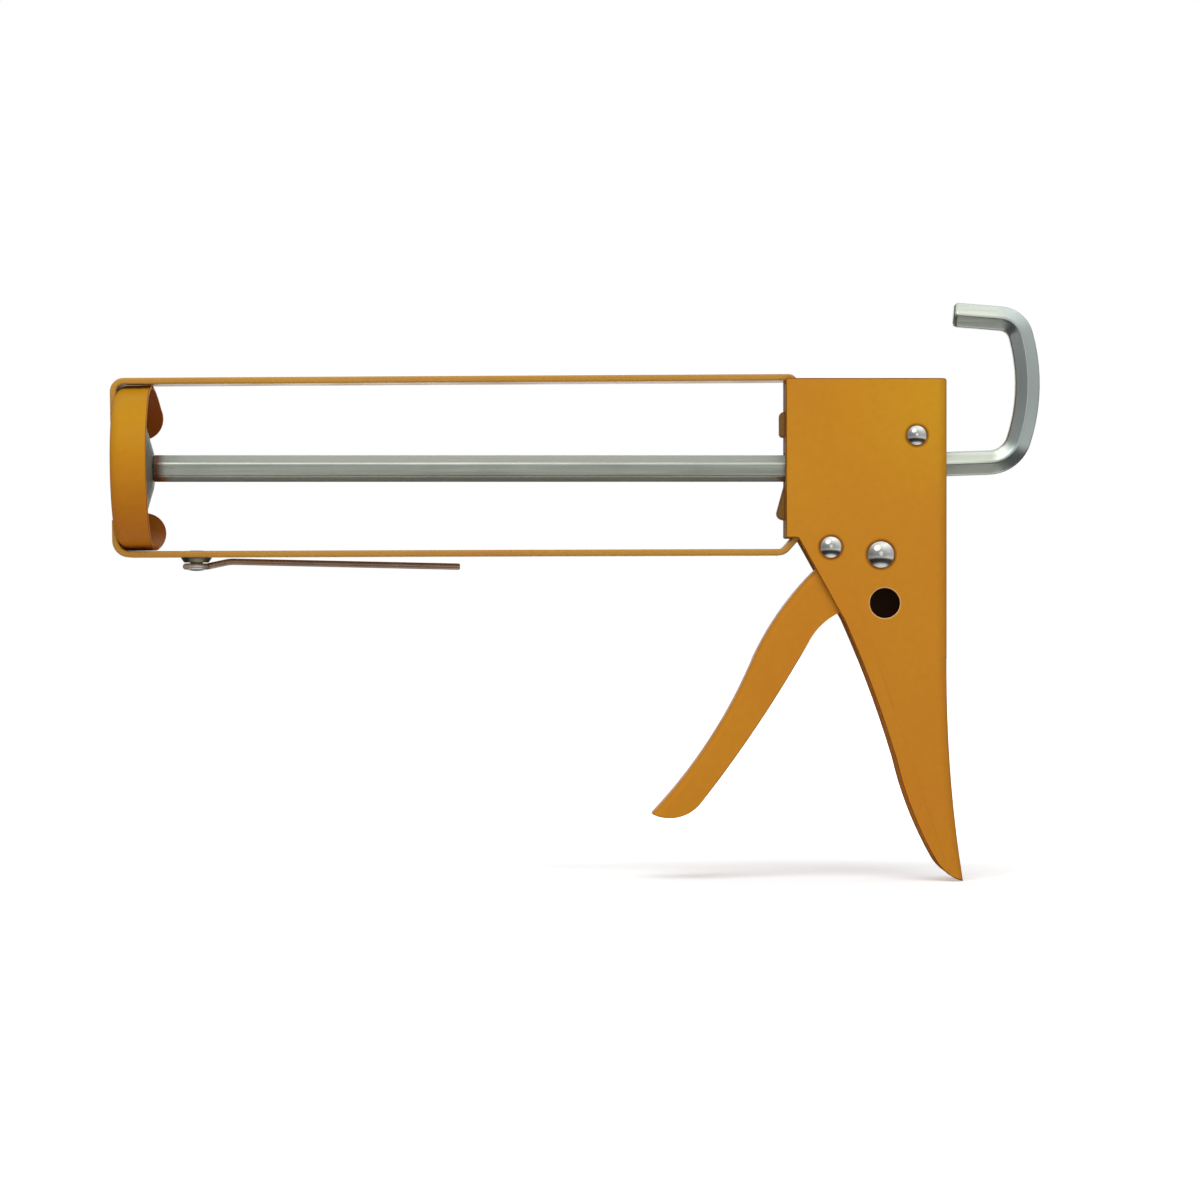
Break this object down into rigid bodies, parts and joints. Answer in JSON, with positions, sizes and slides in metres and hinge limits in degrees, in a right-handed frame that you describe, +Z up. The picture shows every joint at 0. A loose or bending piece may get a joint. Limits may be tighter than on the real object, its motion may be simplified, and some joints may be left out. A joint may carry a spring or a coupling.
{
  "type": "caulking gun",
  "caption": "Skeleton caulking gun with a hexagonal push rod, pull hook, trigger drive, nozzle cutter hole and swinging seal punch.",
  "frame": {"origin": "on the push rod's axis, at the front face of the rear plate, where the cartridge's bottom rests", "axes": "+X along the rod towards the pull hook, -X towards the nozzle end, +Z up, the grip hangs towards -Z"},
  "size_m": [0.3038, 0.0521, 0.189],
  "materials": {
    "frame_paint": "gloss orange-yellow paint",
    "body_paint": "gloss orange-yellow paint",
    "trigger_paint": "gloss orange-yellow paint",
    "plated_rod": "bright zinc plate with drawn lines",
    "plated_plunger": "zinc plate",
    "rivet_bright": "polished nickel plate",
    "bush_steel": "turned steel",
    "spring_steel": "drawn spring wire",
    "drive_steel": "hardened plate",
    "wire_steel": "drawn steel wire"
  },
  "bodies": {
    "frame": {"top_strap": "frame_paint", "bottom_strap": "frame_paint", "front_cup": "frame_paint", "rear_plate": "frame_paint", "body_shell": "body_paint", "rear_rivet": "rivet_bright", "stop_rivet": "rivet_bright", "pivot_rivet": "rivet_bright", "rear_sleeve": "bush_steel", "stop_sleeve": "bush_steel", "pivot_sleeve": "bush_steel", "drag_spring": "spring_steel", "main_spring": "spring_steel", "punch_rivet": "wire_steel", "punch_collar": "wire_steel"},
    "push_rod": {"hex_rod": "plated_rod", "plunger_plate": "plated_plunger", "plunger_washer": "plated_plunger"},
    "trigger": {"trigger": "trigger_paint"},
    "drive": {"drive_plate": "drive_steel"},
    "punch": {"punch_wire": "wire_steel"}
  },
  "joints": [
    {"name": "rod_slide", "type": "slide", "parent": "frame", "child": "push_rod", "axis": [1, 0, 0], "range_m": [0, 0.203]},
    {"name": "trigger_hinge", "type": "hinge", "parent": "frame", "child": "trigger", "pos_m": [0.0309, 0, -0.0283], "axis": [0, -1, 0], "range_deg": [0, 28], "stiffness_Nm_per_rad": 0.43, "springref_deg": -26.93},
    {"name": "drive_slide", "type": "slide", "parent": "frame", "child": "drive", "axis": [-1, 0, 0], "range_m": [0, 0.0083], "deforming": ["main_spring"]},
    {"name": "punch_hinge", "type": "hinge", "parent": "frame", "child": "punch", "pos_m": [-0.1928, 0, -0.0321], "axis": [0, 0, 1], "continuous": true}
  ],
  "couplings": [
    {"joint": "drive_slide", "follows": "trigger_hinge", "m_per_rad": 0.01685}
  ]
}
